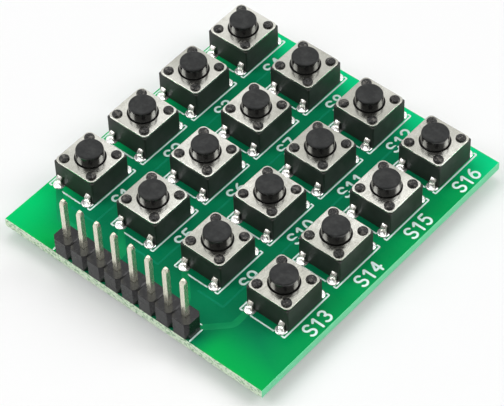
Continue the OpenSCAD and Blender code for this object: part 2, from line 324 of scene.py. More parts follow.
class Tree:
    """Node tree of a material or of the world."""

    def __init__(self, owner):
        owner.use_nodes = True
        self.nodes = owner.node_tree.nodes
        self.links = owner.node_tree.links

    def join(self, source, target):
        """Links two sockets."""
        self.links.new(source, target)

    def feed(self, socket, value):
        """Gives a socket a fixed value, or links it to another socket."""
        if isinstance(value, bpy.types.NodeSocket):
            self.join(value, socket)
        else:
            socket.default_value = value

    def reckon(self, operation, *terms):
        """Result of an arithmetic step on one or two terms, each a number or a socket."""
        step = self.nodes.new("ShaderNodeMath")
        step.operation = operation
        for socket, term in zip(step.inputs, terms):
            self.feed(socket, term)
        return step.outputs["Value"]

    def spread(self, factor, low, high, start=0.35, stop=0.65, shape="SMOOTHSTEP"):
        """Stretches a factor between start and stop onto the range from low to high."""
        spread = self.nodes.new("ShaderNodeMapRange")
        spread.interpolation_type = shape
        for socket, value in zip(spread.inputs, (factor, start, stop, low, high)):
            self.feed(socket, value)
        return spread.outputs["Result"]

    def show(self, share, first, second, output):
        """Shows the first shader where the share is 0 and the second one where it is 1."""
        mix = self.nodes.new("ShaderNodeMixShader")
        for socket, source in zip(mix.inputs, (share, first, second)):
            self.join(source, socket)
        self.join(mix.outputs["Shader"], self.nodes[output].inputs["Surface"])


class Finish(Tree):
    """A procedural material on Object coordinates, with its shader at hand."""

    def __init__(self, name, color, roughness=0.5, metallic=0.0, specular=0.5):
        self.material = bpy.data.materials.new(name)
        super().__init__(self.material)
        self.shader = self.nodes["Principled BSDF"]
        self.place = self.nodes.new("ShaderNodeTexCoord").outputs["Object"]
        self.set("Base Color", (*color, 1.0))
        self.set("Roughness", roughness)
        self.set("Metallic", metallic)
        self.set("Specular IOR Level", specular)

    def set(self, socket, value):
        """Sets a value that is the same all over the surface."""
        self.shader.inputs[socket].default_value = value

    def grain(self, *size, detail=3.0, rough=0.55):
        """Noise from 0 to 1, with one length for its grains or a length along each axis."""
        mapping = self.nodes.new("ShaderNodeMapping")
        sides = size if len(size) == 3 else size * 3
        mapping.inputs["Scale"].default_value = [1 / side for side in sides]
        self.join(self.place, mapping.inputs["Vector"])
        noise = self.nodes.new("ShaderNodeTexNoise")
        noise.inputs["Scale"].default_value = 1.0
        noise.inputs["Detail"].default_value = detail
        noise.inputs["Roughness"].default_value = rough
        self.join(mapping.outputs["Vector"], noise.inputs["Vector"])
        return noise.outputs["Fac"]

    def blend(self, factor, first, second):
        """Colour from first to second as the factor goes from 0 to 1. Each is a colour or a socket."""
        mix = self.nodes.new("ShaderNodeMix")
        mix.data_type = "RGBA"
        self.join(factor, mix.inputs["Factor"])
        # The sockets for colours stand behind those for numbers and vectors
        for socket, color in zip(mix.inputs[6:8], (first, second)):
            linked = isinstance(color, bpy.types.NodeSocket)
            self.feed(socket, color if linked else (*color, 1.0))
        return mix.outputs[2]

    def paint(self, color):
        """Colours the surface from a socket."""
        self.join(color, self.shader.inputs["Base Color"])

    def polish(self, grain, low, high):
        """Varies the surface's roughness from low to high with a grain."""
        self.set("Roughness", (low + high) / 2)
        self.join(self.spread(grain, low, high), self.shader.inputs["Roughness"])

    def emboss(self, height, depth):
        """Raises the surface by a socket times a depth."""
        bump = self.nodes.new("ShaderNodeBump")
        bump.inputs["Distance"].default_value = depth
        self.join(height, bump.inputs["Height"])
        self.join(bump.outputs["Normal"], self.shader.inputs["Normal"])


def finish_piece(name, bm, materials, body, nodes=(), flat_axes=(2,)):
    """Turns a bmesh into a piece that rides on a body and stands for the given CAD nodes."""
    mesh = bpy.data.meshes.new(name)
    bm.to_mesh(mesh)
    bm.free()
    for material in materials:
        mesh.materials.append(material)
    mesh.set_sharp_from_angle(angle=SHARP)
    for face in mesh.polygons:
        face.use_smooth = all(abs(face.normal[axis]) < LEVEL for axis in flat_axes)
    piece = bpy.data.objects.new(name, mesh)
    bpy.context.scene.collection.objects.link(piece)
    if nodes:
        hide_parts(*nodes)
    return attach(piece, body)


def arc(middle, radius_x, radius_y, start, stop, steps):
    """Points along part of an ellipse, with its angles in degrees."""
    turns = [math.radians(start + (stop - start) * step / steps) for step in range(steps + 1)]
    return [(middle[0] + radius_x * math.cos(t), middle[1] + radius_y * math.sin(t)) for t in turns]


def ring(middle, radius, steps):
    """Points round a circular hole, turning against the plate's outline."""
    return arc(middle, radius, radius, 360, 0, steps)[:-1]


def rounded_square(half, radius, steps=8):
    """Points round a square with round corners."""
    points = []
    for corner, (side_x, side_y) in enumerate(((1, 1), (-1, 1), (-1, -1), (1, -1))):
        middle = (side_x * (half - radius), side_y * (half - radius))
        points += arc(middle, radius, radius, 90 * corner, 90 * corner + 90, steps)
    return points


def merged(bm):
    """Closes the seams of a bmesh and turns its faces outwards."""
    bmesh.ops.remove_doubles(bm, verts=bm.verts, dist=MERGE)
    bmesh.ops.recalc_face_normals(bm, faces=bm.faces)
    return bm


def from_curve(curve):
    """A bmesh of a curve, which is then removed."""
    holder = bpy.data.objects.new(curve.name, curve)
    mesh = bpy.data.meshes.new_from_object(holder)
    bm = bmesh.new()
    bm.from_mesh(mesh)
    bpy.data.objects.remove(holder)
    bpy.data.curves.remove(curve)
    bpy.data.meshes.remove(mesh)
    return merged(bm)


def plate(loops, low, high, edge_round, steps=2):
    """A flat plate between two heights: the first loop is its outline and the others are its holes."""
    curve = bpy.data.curves.new("plate", "CURVE")
    curve.dimensions = "2D"
    curve.fill_mode = "BOTH"
    curve.extrude = (high - low) / 2 - edge_round
    curve.bevel_depth = edge_round
    curve.bevel_resolution = steps
    curve.offset = -edge_round
    for loop in loops:
        spline = curve.splines.new("POLY")
        spline.points.add(len(loop) - 1)
        spline.use_cyclic_u = True
        for point, (x, y) in zip(spline.points, loop):
            point.co = (x, y, 0.0, 1.0)
    bm = from_curve(curve)
    bmesh.ops.translate(bm, verts=bm.verts, vec=(0, 0, (low + high) / 2))
    return bm


def bent(points, radius, steps=4):
    """A line of points whose sharp corners have become small curves."""
    line = [Vector((x, y, 0.0)) for x, y in points]
    route = [line[0]]
    for before, corner, after in zip(line, line[1:], line[2:]):
        into, out = before - corner, after - corner
        if into.angle(out) > STRAIGHT:
            route.append(corner)
            continue
        reach = min(radius, into.length / 2, out.length / 2)
        for share in (step / steps for step in range(steps + 1)):
            turn = into.normalized() * (1 - share) ** 2 + out.normalized() * share ** 2
            route.append(corner + turn * reach)
    return route + [line[-1]]


def beads(strokes, width, height, level, cap_steps=4):
    """Flat beads with round ends along lines of points, standing on one level."""
    curve = bpy.data.curves.new("beads", "CURVE")
    curve.dimensions = "3D"
    curve.twist_mode = "Z_UP"
    curve.fill_mode = "FULL"
    curve.bevel_depth = width / 2
    curve.bevel_resolution = 2
    for stroke in strokes:
        line = bent(stroke, width / 2)
        out_start = (line[0] - line[1]).normalized() * width / 2
        out_end = (line[-1] - line[-2]).normalized() * width / 2
        turns = [math.pi / 2 * step / cap_steps for step in range(cap_steps, 0, -1)]
        start = [(line[0] + out_start * math.sin(turn), math.cos(turn)) for turn in turns]
        end = [(line[-1] + out_end * math.sin(turn), math.cos(turn)) for turn in reversed(turns)]
        route = start + [(point, 1.0) for point in line] + end
        spline = curve.splines.new("POLY")
        spline.points.add(len(route) - 1)
        for point, (place, radius) in zip(spline.points, route):
            point.co = (*place, 1.0)
            point.radius = radius
    bm = from_curve(curve)
    bmesh.ops.scale(bm, verts=bm.verts, vec=(1, 1, height / (width / 2)))
    bmesh.ops.translate(bm, verts=bm.verts, vec=(0, 0, level))
    return bm


def spun(profile, steps=48):
    """A solid of revolution about Z, from the radius and height of each point of its profile."""
    bm = bmesh.new()
    points = [bm.verts.new((radius, 0, height)) for radius, height in profile]
    edges = [bm.edges.new(pair) for pair in zip(points, points[1:])]
    bmesh.ops.spin(
        bm, geom=points + edges, cent=(0, 0, 0), axis=(0, 0, 1), angle=math.tau, steps=steps, use_merge=True
    )
    return merged(bm)


def repeated(shape, places):
    """A bmesh with a copy of a shape at each place. The shape is used up."""
    mesh = bpy.data.meshes.new("shape")
    shape.to_mesh(mesh)
    shape.free()
    bm = bmesh.new()
    for place in places:
        first = len(bm.verts)
        bm.from_mesh(mesh)
        bm.verts.ensure_lookup_table()
        bmesh.ops.translate(bm, verts=bm.verts[first:], vec=place)
    bpy.data.meshes.remove(mesh)
    return bm


def rounded_copy(node, radius, chosen=None, bend=40.0):
    """A merged copy of a CAD node with its sharp edges rounded, or only those that chosen accepts."""
    bm = bmesh.new()
    bm.from_mesh(frame["nodes"][node].data)
    bmesh.ops.remove_doubles(bm, verts=bm.verts, dist=MERGE)
    bmesh.ops.dissolve_limit(bm, angle_limit=FLAT, verts=bm.verts, edges=bm.edges)
    sharp = [edge for edge in bm.edges if edge.is_manifold and edge.calc_face_angle() > math.radians(bend)]
    if chosen:
        sharp = [edge for edge in sharp if chosen(edge)]
    bmesh.ops.bevel(
        bm, geom=sharp, offset=radius, segments=2, profile=0.5, affect="EDGES", material=-1,
        clamp_overlap=True,
    )
    return bm


def lead_offsets(switch):
    """Places of a switch's four leads from its middle."""
    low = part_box(TERMINALS[0])[0] - PLACES[FIRST]
    side = low.x + switch.lead_w / 2
    front = low.y + switch.lead_t / 2
    return [Vector((turn_x * side, turn_y * front, 0)) for turn_x in (1, -1) for turn_y in (1, -1)]


def lead_places(switch):
    """Places of all the leads on the top of the board."""
    return [PLACES[key] + offset for key in KEYS for offset in lead_offsets(switch)]


def pin_places():
    """Places of the header's pins on the top of the board."""
    row = (STRIP_LOW.y + STRIP_HIGH.y) / 2
    first = STRIP_LOW.x + PIN_PITCH / 2
    return [Vector((first + PIN_PITCH * pin, row, BOARD_TOP)) for pin in range(PIN_COUNT)]


def mask_finish(board):
    """Solder mask: green, with painted light that brightens its borders where light shines through the
    laminate's edges.
    """
    finish = Finish("solder mask", board.mask, specular=MASK_SPECULAR)
    split = finish.nodes.new("ShaderNodeSeparateXYZ")
    finish.join(finish.place, split.inputs["Vector"])
    x, y = split.outputs["X"], split.outputs["Y"]
    left = finish.spread(x, 1.0, 0.0, BOARD_LOW.x, BOARD_LOW.x + board.glow_w)
    back = finish.spread(y, 0.0, 1.0, BOARD_HIGH.y - board.glow_w, BOARD_HIGH.y)
    right = finish.spread(x, 0.0, board.right_glow, BOARD_HIGH.x - board.glow_w, BOARD_HIGH.x)
    front = finish.spread(y, board.front_glow, 0.0, BOARD_LOW.y, BOARD_LOW.y + board.glow_w)
    beside = finish.reckon("ABSOLUTE", x)
    # Painted shade: the front border stays dark beside the header strip, which shades it
    clear = finish.spread(beside, 0.0, 1.0, STRIP_HIGH.x, STRIP_HIGH.x + board.glow_w / 2)
    near = finish.reckon("MAXIMUM", right, finish.reckon("MULTIPLY", front, clear))
    # Painted light: the borders glow where light comes through the laminate
    painted_near_glow = finish.blend(near, board.mask, board.mask_near_glow)
    glow = finish.blend(back, finish.blend(left, painted_near_glow, board.mask_left_glow), board.mask_back_glow)
    cloud = finish.spread(finish.grain(6 * MM), 0.0, 0.12, start=0.3, stop=0.7)
    finish.paint(finish.blend(cloud, glow, board.mask_line))
    finish.polish(finish.grain(1.5 * MM), 0.24, 0.36)
    finish.emboss(finish.grain(0.45 * MM, detail=2.0), 0.004 * MM)
    return finish.material


def routed_finish(board):
    """Smooth side edge of the laminate with faint layers of glass."""
    finish = Finish("routed laminate", board.laminate_routed)
    layers = finish.spread(finish.grain(2.5 * MM, 2.5 * MM, 0.12 * MM), 0.0, 0.22)
    finish.paint(finish.blend(layers, board.laminate_routed, board.laminate_shade))
    finish.emboss(finish.grain(0.4 * MM, 0.4 * MM, 0.1 * MM), 0.01 * MM)
    return finish.material


def scored_finish(board):
    """Broken front and back edge of the laminate: pale glass with darker flecks and chips."""
    finish = Finish("scored laminate", board.laminate, roughness=0.6)
    flecks = finish.grain(0.4 * MM, 0.4 * MM, 0.3 * MM, detail=4.0, rough=0.6)
    layers = finish.spread(flecks, 0.0, 0.9, start=0.46, stop=0.64)
    pale = finish.blend(layers, board.laminate, board.laminate_shade)
    chips = finish.spread(finish.grain(0.35 * MM, 0.35 * MM, 0.16 * MM), 0.0, 0.8, start=0.56, stop=0.66)
    finish.paint(finish.blend(chips, pale, board.laminate_chip))
    finish.emboss(finish.grain(0.3 * MM, 0.3 * MM, 0.12 * MM, detail=4.0), 0.06 * MM)
    return finish.material


def line_finish(name, board, color):
    """Solder mask over a copper line."""
    finish = Finish(name, color, roughness=0.3, specular=MASK_SPECULAR)
    cloud = finish.spread(finish.grain(2.0 * MM), 0.0, 0.3)
    finish.paint(finish.blend(cloud, color, board.mask))
    return finish.material


class KEYPAD_OT_board(Operator):
    """Models the drilled board with its mask and cut edges"""

    bl_idname = "keypad.board"
    bl_label = "Circuit Board"

    def execute(self, context):
        settings = context.scene.keypad
        board = settings.board
        corners = ((BOARD_LOW.x, BOARD_LOW.y), (BOARD_HIGH.x, BOARD_LOW.y))
        corners += ((BOARD_HIGH.x, BOARD_HIGH.y), (BOARD_LOW.x, BOARD_HIGH.y))
        places = lead_places(settings.switch) + pin_places()
        holes = [ring(place, board.hole_d / 2, steps=24) for place in places]
        bm = plate([corners, *holes], BOARD_LOW.z, BOARD_HIGH.z, board.edge_round)
        for face in bm.faces:
            x, y, z = (abs(share) for share in face.normal)
            face.material_index = 0 if z > LEVEL else 1 if x > y else 2
        materials = [mask_finish(board), routed_finish(board), scored_finish(board)]
        finish_piece("board_laminate", bm, materials, FIXED_BODY, ["circuit_board"])
        return {"FINISHED"}


class KEYPAD_OT_lines(Operator):
    """Models the copper lines that lift the mask"""

    bl_idname = "keypad.lines"
    bl_label = "Copper Lines"

    def column_lines(self, board, pads, pins):
        """Wide lines from the front row's left pads to the header, with bends of 45 degrees."""
        level = pins[0].y + board.line_rise
        drop = pads[0].y - level
        first, second, third, last = (pins[index] for index in COLUMN_PINS)
        lines = [[pads[0].xy, (pads[0].x + drop, level), (first.x - board.line_rise, level), first.xy]]
        for pad, pin in ((pads[1], second), (pads[2], third)):
            lines.append([pad.xy, (pin.x, pad.y + pad.x - pin.x), pin.xy])
        lines.append([pads[3].xy, (pads[3].x, last.y + pads[3].x - last.x), last.xy])
        return lines

    def row_lines(self, board):
        """Thin lines between the columns of switches, each with a foot behind the header."""
        lines = []
        for column in range(COLUMNS - 1):
            front, back = PLACES[KEYS[ROWS * column]], PLACES[KEYS[ROWS * column + ROWS - 1]]
            side = front.x + board.row_line_at
            foot = front.y - board.row_line_at
            lines.append([(side, back.y), (side, foot), (side - board.row_line_foot, foot)])
        return lines

    def under_lines(self, pads):
        """Lines along the rows under the board."""
        reach = PLACES[KEYS[-1]].x - PLACES[KEYS[0]].x
        return [[pad.xy, (pad.x + reach, pad.y)] for pad in pads]

    def execute(self, context):
        board = context.scene.keypad.board
        wide = line_finish("mask over wide line", board, board.mask_line)
        thin = line_finish("mask over thin line", board, board.mask_thin_line)
        offsets = lead_offsets(context.scene.keypad.switch)
        left_front, right_back = offsets[0], offsets[3]
        front_pads = [PLACES[key] + left_front for key in KEYS[::ROWS]]
        side_pads = [PLACES[key] + right_back for key in KEYS[:ROWS]]
        columns = self.column_lines(board, front_pads, pin_places())
        groups = (
            ("board_column_lines", columns, board.wide_line_w, BOARD_TOP, wide),
            ("board_row_lines", self.row_lines(board), board.line_w, BOARD_TOP, thin),
            ("board_under_lines", self.under_lines(side_pads), board.wide_line_w, BOARD_LOW.z, wide),
        )
        for name, lines, width, level, material in groups:
            bm = beads(lines, width, board.line_h, level)
            finish_piece(name, bm, [material], FIXED_BODY)
        return {"FINISHED"}


# Strokes of each letter in shares of its height, from its lower left corner
GLYPHS = {
    "S": [arc((0.32, 0.75), 0.27, 0.25, 25, 270, 10) + arc((0.32, 0.25), 0.29, 0.25, 90, -155, 10)[1:]],
    "0": [arc((0.32, 0.5), 0.28, 0.5, 0, 360, 18)],
    "1": [[(0.12, 0.76), (0.38, 1.0), (0.38, 0.0)]],
    "2": [arc((0.32, 0.72), 0.28, 0.28, 165, -35, 9) + [(0.04, 0.0), (0.60, 0.0)]],
    "3": [arc((0.28, 0.76), 0.26, 0.24, 150, -90, 9) + arc((0.28, 0.26), 0.30, 0.26, 90, -150, 10)[1:]],
    "4": [[(0.46, 0.0), (0.46, 1.0), (0.02, 0.30), (0.62, 0.30)]],
    "5": [[(0.54, 1.0), (0.12, 1.0), (0.08, 0.56)] + arc((0.30, 0.32), 0.29, 0.32, 130, -145, 10)],
    "6": [arc((0.32, 0.30), 0.28, 0.30, 180, -180, 16), arc((0.62, 0.30), 0.58, 0.70, 180, 110, 7)],
    "7": [[(0.04, 1.0), (0.60, 1.0), (0.22, 0.0)]],
    "8": [arc((0.32, 0.76), 0.23, 0.24, -90, 270, 14), arc((0.32, 0.26), 0.29, 0.26, 90, 450, 16)],
    "9": [arc((0.32, 0.70), 0.28, 0.30, 0, 360, 16), arc((0.02, 0.70), 0.58, 0.70, 0, -70, 7)],
}


def number_strokes(text, middle, height, step):
    """Strokes of a text that reads along +Y with its letters' tops towards -X."""
    wide = LETTER_W * height
    start = middle.y - (step * (len(text) - 1) + wide) / 2
    strokes = []
    for place, letter in enumerate(text):
        for stroke in GLYPHS[letter]:
            along = start + place * step
            strokes.append([(middle.x + (0.5 - y) * height, along + x * height) for x, y in stroke])
    return strokes


def ink_finish(settings):
    """White print with thin spots."""
    finish = Finish("white print", settings.ink)
    thin = finish.spread(finish.grain(0.3 * MM, detail=4.0), 0.0, 0.4, start=0.52, stop=0.72)
    finish.paint(finish.blend(thin, settings.ink, settings.ink_thin))
    finish.emboss(finish.grain(0.08 * MM, detail=2.0), 0.004 * MM)
    return finish.material


class KEYPAD_OT_print(Operator):
    """Models the white outlines and switch numbers"""

    bl_idname = "keypad.print"
    bl_label = "White Print"

    def outline(self, settings, switch, middle):
        """Lines round one switch, open at its leads."""
        x, y = settings.half_x, settings.half_y
        lead = max(offset.x for offset in lead_offsets(switch))
        gap = settings.pad_gap
        lines = [[(gap - lead, row), (lead - gap, row)] for row in (-y, y)]
        for side in (-1, 1):
            end = side * (lead + gap)
            lines.append([(end, -y), (side * x, -y), (side * x, y), (end, y)])
        return [[(middle.x + px, middle.y + py) for px, py in line] for line in lines]

    def strip_outline(self, settings):
        """Line round the header strip, open at the front edge of the board."""
        left, right = STRIP_LOW.x - settings.strip_gap, STRIP_HIGH.x + settings.strip_gap
        front, back = BOARD_LOW.y + settings.line_w, STRIP_HIGH.y + settings.strip_gap
        return [(left, front), (left, back), (right, back), (right, front)]

    def execute(self, context):
        settings = context.scene.keypad.print
        switch = context.scene.keypad.switch
        ink = ink_finish(settings)
        lines = [self.strip_outline(settings)]
        numbers = []
        for count, key in enumerate(KEYS, start=1):
            lines += self.outline(settings, switch, PLACES[key])
            middle = PLACES[key] + Vector((settings.number_at, 0, 0))
            numbers += number_strokes(f"S{count}", middle, settings.number_h, settings.number_step)
        bm = beads(lines, settings.line_w, settings.ink_h, BOARD_TOP)
        finish_piece("board_outlines", bm, [ink], FIXED_BODY)
        bm = beads(numbers, settings.number_w, settings.ink_h, BOARD_TOP)
        finish_piece("board_numbers", bm, [ink], FIXED_BODY)
        return {"FINISHED"}


def housing_finish(switch):
    """Satin black moulding with a faint texture and a little dust."""
    finish = Finish("housing plastic", switch.housing, specular=0.4)
    dust = finish.spread(finish.grain(0.5 * MM, detail=4.0), 0.0, 0.02, start=0.5, stop=0.8)
    finish.paint(finish.blend(dust, switch.housing, switch.dust))
    finish.polish(finish.grain(1.6 * MM), 0.42, 0.50)
    finish.emboss(finish.grain(0.06 * MM, detail=2.0), 0.0006 * MM)
    return finish.material


def stake_finish(switch):
    """Melted head of a post: black with a coarse, dented surface and painted glints that stand for its
    highlights.
    """
    finish = Finish("staked plastic", switch.stake, specular=0.4)
    # Painted highlight: lighter spots stand for glints on the rough heads
    glint = finish.spread(finish.grain(0.42 * MM), 0.0, 1.0, start=0.52, stop=0.64)
    finish.paint(finish.blend(glint, switch.stake, switch.stake_glint))
    finish.polish(finish.grain(0.2 * MM), 0.18, 0.36)
    finish.emboss(finish.grain(0.35 * MM), 0.22 * MM)
    return finish.material


class KEYPAD_OT_housings(Operator):
    """Models the moulded switch housings with their staked posts"""

    bl_idname = "keypad.housings"
    bl_label = "Switch Housings"

    def is_outer(self, middle, reach, edge):
        """Whether both ends of an edge lie beyond the reach from the middle of a switch."""
        ends = [vert.co - middle for vert in edge.verts]
        return all(max(abs(end.x), abs(end.y)) > reach for end in ends)

    def execute(self, context):
        switch = context.scene.keypad.switch
        materials = [housing_finish(switch), stake_finish(switch)]
        reach = HOUSING_HALF - OUTER_BAND * switch.housing_round
        for key in KEYS:
            middle = PLACES[key]
            node = node_of(key, "housing")
            bm = rounded_copy(node, switch.housing_round, partial(self.is_outer, middle, reach), bend=30.0)
            for face in bm.faces:
                above = face.calc_center_median().z - middle.z
                face.material_index = 1 if above > COVER_HIGH.z else 0
            finish_piece(f"{key}_housing", bm, materials, FIXED_BODY, [node], BOX_AXES)
        return {"FINISHED"}


def cover_finish(switch):
    """Satin sheet metal: fine rolled grain, a painted sheen that makes some covers brighter and others
    duller, and a little tarnish.
    """
    finish = Finish("cover steel", switch.cover, metallic=1.0)
    # Painted reflection: a wide cloud makes some covers brighter and others duller
    painted_sheen = finish.spread(finish.grain(11 * MM, detail=1.0), 0.0, 1.0)
    sheet = finish.blend(painted_sheen, switch.cover, switch.cover_dim_sheen)
    tarnish = finish.spread(finish.grain(0.7 * MM, detail=5.0), 0.0, 0.35, start=0.45, stop=0.75)
    finish.paint(finish.blend(tarnish, sheet, switch.cover_tarnish))
    finish.polish(finish.grain(0.12 * MM, 0.9 * MM, 0.3 * MM, detail=4.0), 0.15, 0.23)
    finish.emboss(finish.grain(0.06 * MM, 0.8 * MM, 0.2 * MM), 0.0006 * MM)
    return finish.material


class KEYPAD_OT_covers(Operator):
    """Models the sheet-metal switch covers"""

    bl_idname = "keypad.covers"
    bl_label = "Switch Covers"

    def execute(self, context):
        switch = context.scene.keypad.switch
        material = cover_finish(switch)
        at = switch.post_at
        posts = [(side_x * at, side_y * at) for side_x in (-1, 1) for side_y in (-1, 1)]
        bore = ring((0, 0), switch.bore_d / 2, steps=64)
        loops = [rounded_square(COVER_HIGH.x, switch.cover_corner), bore]
        loops += [ring(post, switch.post_hole_d / 2, steps=20) for post in posts]
        for key in KEYS:
            bm = plate(loops, COVER_LOW.z, COVER_HIGH.z, switch.cover_round)
            bmesh.ops.translate(bm, verts=bm.verts, vec=PLACES[key])
            finish_piece(f"{key}_cover", bm, [material], FIXED_BODY, [node_of(key, "cover")])
        return {"FINISHED"}


def plunger_finish(switch):
    """Glossy black side of a plunger."""
    finish = Finish("plunger side", switch.plunger, specular=0.9)
    finish.polish(finish.grain(0.4 * MM, 0.4 * MM, 1.2 * MM), 0.14, 0.24)
    finish.emboss(finish.grain(0.05 * MM, 0.05 * MM, 0.4 * MM, detail=2.0), 0.0003 * MM)
    return finish.material


def plunger_top_finish(switch):
    """Matt top of a plunger with a spark-eroded texture and rubbed spots."""
    finish = Finish("plunger top", switch.plunger_top, specular=0.25)
    rub = finish.spread(finish.grain(0.9 * MM, detail=4.0), 0.0, 0.5, start=0.4, stop=0.7)
    finish.paint(finish.blend(rub, switch.plunger_top, switch.plunger_rub))
    finish.polish(finish.grain(0.3 * MM), 0.48, 0.62)
    finish.emboss(finish.grain(0.05 * MM, detail=2.0), 0.006 * MM)
    return finish.material


class KEYPAD_OT_plungers(Operator):
    """Models the round plungers, each of which moves with its key"""

    bl_idname = "keypad.plungers"
    bl_label = "Plungers"

    def profile(self, switch):
        """Radius and height of the plunger's outline, from its foot to its top."""
        shoulder = COVER_LOW.z - switch.flange_gap
        collar = shoulder - switch.flange_t
        top_r = switch.stem_top_d / 2
        turn = switch.stem_round
        rim = arc((top_r - turn, PLUNGER_HIGH.z - turn), turn, turn, 0, 90, steps=6)
        foot = [(0.0, PLUNGER_LOW.z), (switch.boss_d / 2, PLUNGER_LOW.z), (switch.boss_d / 2, collar)]
        flange = [(PLUNGER_HIGH.x, collar), (PLUNGER_HIGH.x, shoulder)]
        stem = [(switch.stem_d / 2, shoulder), (switch.stem_d / 2, COVER_HIGH.z)]
        return foot + flange + stem + rim + [(0.0, PLUNGER_HIGH.z)]

    def execute(self, context):
        switch = context.scene.keypad.switch
        materials = [plunger_finish(switch), plunger_top_finish(switch)]
        for key in KEYS:
            bm = spun(self.profile(switch), steps=64)
            for face in bm.faces:
                face.material_index = 1 if face.normal.z > TOP_RISE else 0
            bmesh.ops.translate(bm, verts=bm.verts, vec=PLACES[key])
            finish_piece(f"{key}_plunger", bm, materials, key, [node_of(key, "plunger")])
        return {"FINISHED"}


def tinned_finish(name, color, metallic):
    """Tinned metal: bright, with drawn streaks along Z and duller patches."""
    finish = Finish(name, color, metallic=metallic)
    patches = finish.grain(0.5 * MM, 0.5 * MM, 0.9 * MM, detail=4.0)
    dull = finish.spread(patches, 0.0, 0.4, start=0.45, stop=0.75)
    finish.paint(finish.blend(dull, color, TIN_DULL))
    finish.polish(finish.grain(0.1 * MM, 0.1 * MM, 1.4 * MM), 0.20, 0.30)
    finish.emboss(finish.grain(0.15 * MM, 0.15 * MM, 1.2 * MM, detail=2.0), 0.0006 * MM)
    return finish.material


class KEYPAD_OT_leads(Operator):
    """Models the bent terminals of the switches"""

    bl_idname = "keypad.leads"
    bl_label = "Switch Leads"

    def execute(self, context):
        switch = context.scene.keypad.switch
        material = tinned_finish("tinned lead", switch.lead, metallic=0.75)
        for node in TERMINALS:
            bm = rounded_copy(node, switch.lead_round)
            finish_piece(f"{node}_formed", bm, [material], FIXED_BODY, [node], BOX_AXES)
        return {"FINISHED"}


def dome_finish(switch):
    """Bright spring steel with a slightly cloudy polish."""
    finish = Finish("dome steel", switch.dome, metallic=1.0)
    finish.polish(finish.grain(0.3 * MM), 0.14, 0.26)
    return finish.material


class KEYPAD_OT_domes(Operator):
    """Models the snap domes, one under each plunger"""

    bl_idname = "keypad.domes"
    bl_label = "Snap Domes"

    def profile(self, switch, steps=8):
        """Radius and height of a dome's section: a flat rim and a shallow cap."""
        inner = DOME_RADIUS - switch.dome_rim
        rise = DOME_HIGH - DOME_LOW - switch.dome_t
        shares = [step / steps for step in range(steps + 1)]
        cap = [(inner * (1 - share), DOME_LOW + rise * (1 - (1 - share) ** 2)) for share in shares]
        rim = [(DOME_RADIUS, DOME_LOW), (DOME_RADIUS, DOME_LOW + switch.dome_t)]
        return cap[::-1] + rim + [(radius, height + switch.dome_t) for radius, height in cap]

    def execute(self, context):
        switch = context.scene.keypad.switch
        material = dome_finish(switch)
        for key in KEYS:
            bm = spun(self.profile(switch))
            bmesh.ops.translate(bm, verts=bm.verts, vec=PLACES[key])
            dome = finish_piece(f"{key}_dome", bm, [material], FIXED_BODY, ["contact_domes"])
            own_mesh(dome)
        return {"FINISHED"}


def solder_finish(solder):
    """Bright solder with ripples and frosted spots."""
    finish = Finish("solder", solder.solder, metallic=0.75)
    frost = finish.spread(finish.grain(0.25 * MM, detail=4.0), 0.0, 0.5, start=0.5, stop=0.8)
    finish.paint(finish.blend(frost, solder.solder, solder.frost))
    finish.polish(finish.grain(0.2 * MM), 0.16, 0.32)
    finish.emboss(finish.grain(0.5 * MM, detail=2.0), 0.012 * MM)
    return finish.material


class KEYPAD_OT_solder(Operator):
    """Models the solder on both sides of the board"""

    bl_idname = "keypad.solder"
    bl_label = "Solder"

    def mound(self, solder, steps=8):
        """Low pool on a pad on the top of the board, climbing towards the lead."""
        pool = []
        for share in (math.cos(math.pi / 2 * step / steps) for step in range(steps + 1)):
            rim = solder.pool_h * math.sqrt(1 - share ** POOL_POWER)
            dish = solder.dish_h * math.sin(math.pi * share) ** 2
            height = rim - dish + solder.climb_h * (1 - share) ** 2
            pool.append((solder.pad_d / 2 * share, height))
        return spun([(0.0, 0.0), *pool[:-1], (0.0, solder.pool_h + solder.climb_h)], steps=24)

    def cone(self, solder, low, steps=6):
        """Hollow-sided cone under the board, down to the given height."""
        pad, neck = solder.pad_d / 2, solder.neck_d / 2
        under = BOARD_LOW.z - BOARD_TOP
        depth = BOARD_LOW.z - low
        shares = [step / steps for step in range(steps + 1)]
        side = [(neck + (pad - neck) * (1 - share) ** 2, under - depth * share) for share in shares]
        return spun([(0.0, under), *side, (0.0, under - depth)], steps=24)

    def trimmed(self, shape, offset, solder):
        """A mound cut off at the wall of the housing next to it."""
        side = math.copysign(1.0, offset.y)
        wall = side * (HOUSING_HALF + solder.wall_gap) - offset.y
        cut = bmesh.ops.bisect_plane(
            shape, geom=[*shape.verts, *shape.edges, *shape.faces], plane_co=(0, wall, 0),
            plane_no=(0, -side, 0), clear_outer=True,
        )
        rim = [item for item in cut["geom_cut"] if isinstance(item, bmesh.types.BMEdge)]
        bmesh.ops.holes_fill(shape, edges=rim)
        return merged(shape)

    def execute(self, context):
        solder = context.scene.keypad.solder
        material = solder_finish(solder)
        joined = bpy.data.meshes.new("joints")
        bm = bmesh.new()
        for offset in lead_offsets(context.scene.keypad.switch):
            places = [PLACES[key] + offset for key in KEYS]
            mound = self.trimmed(self.mound(solder), offset, solder)
            for shape in (mound, self.cone(solder, SWITCH_JOINT_LOW)):
                repeated(shape, places).to_mesh(joined)
                bm.from_mesh(joined)
        finish_piece("lead_joints", bm, [material], FIXED_BODY, ["switch_solder"])
        bpy.data.meshes.remove(joined)
        bm = repeated(self.cone(solder, HEADER_JOINT_LOW), pin_places())
        finish_piece("header_joints", bm, [material], FIXED_BODY, ["header_solder"])
        return {"FINISHED"}


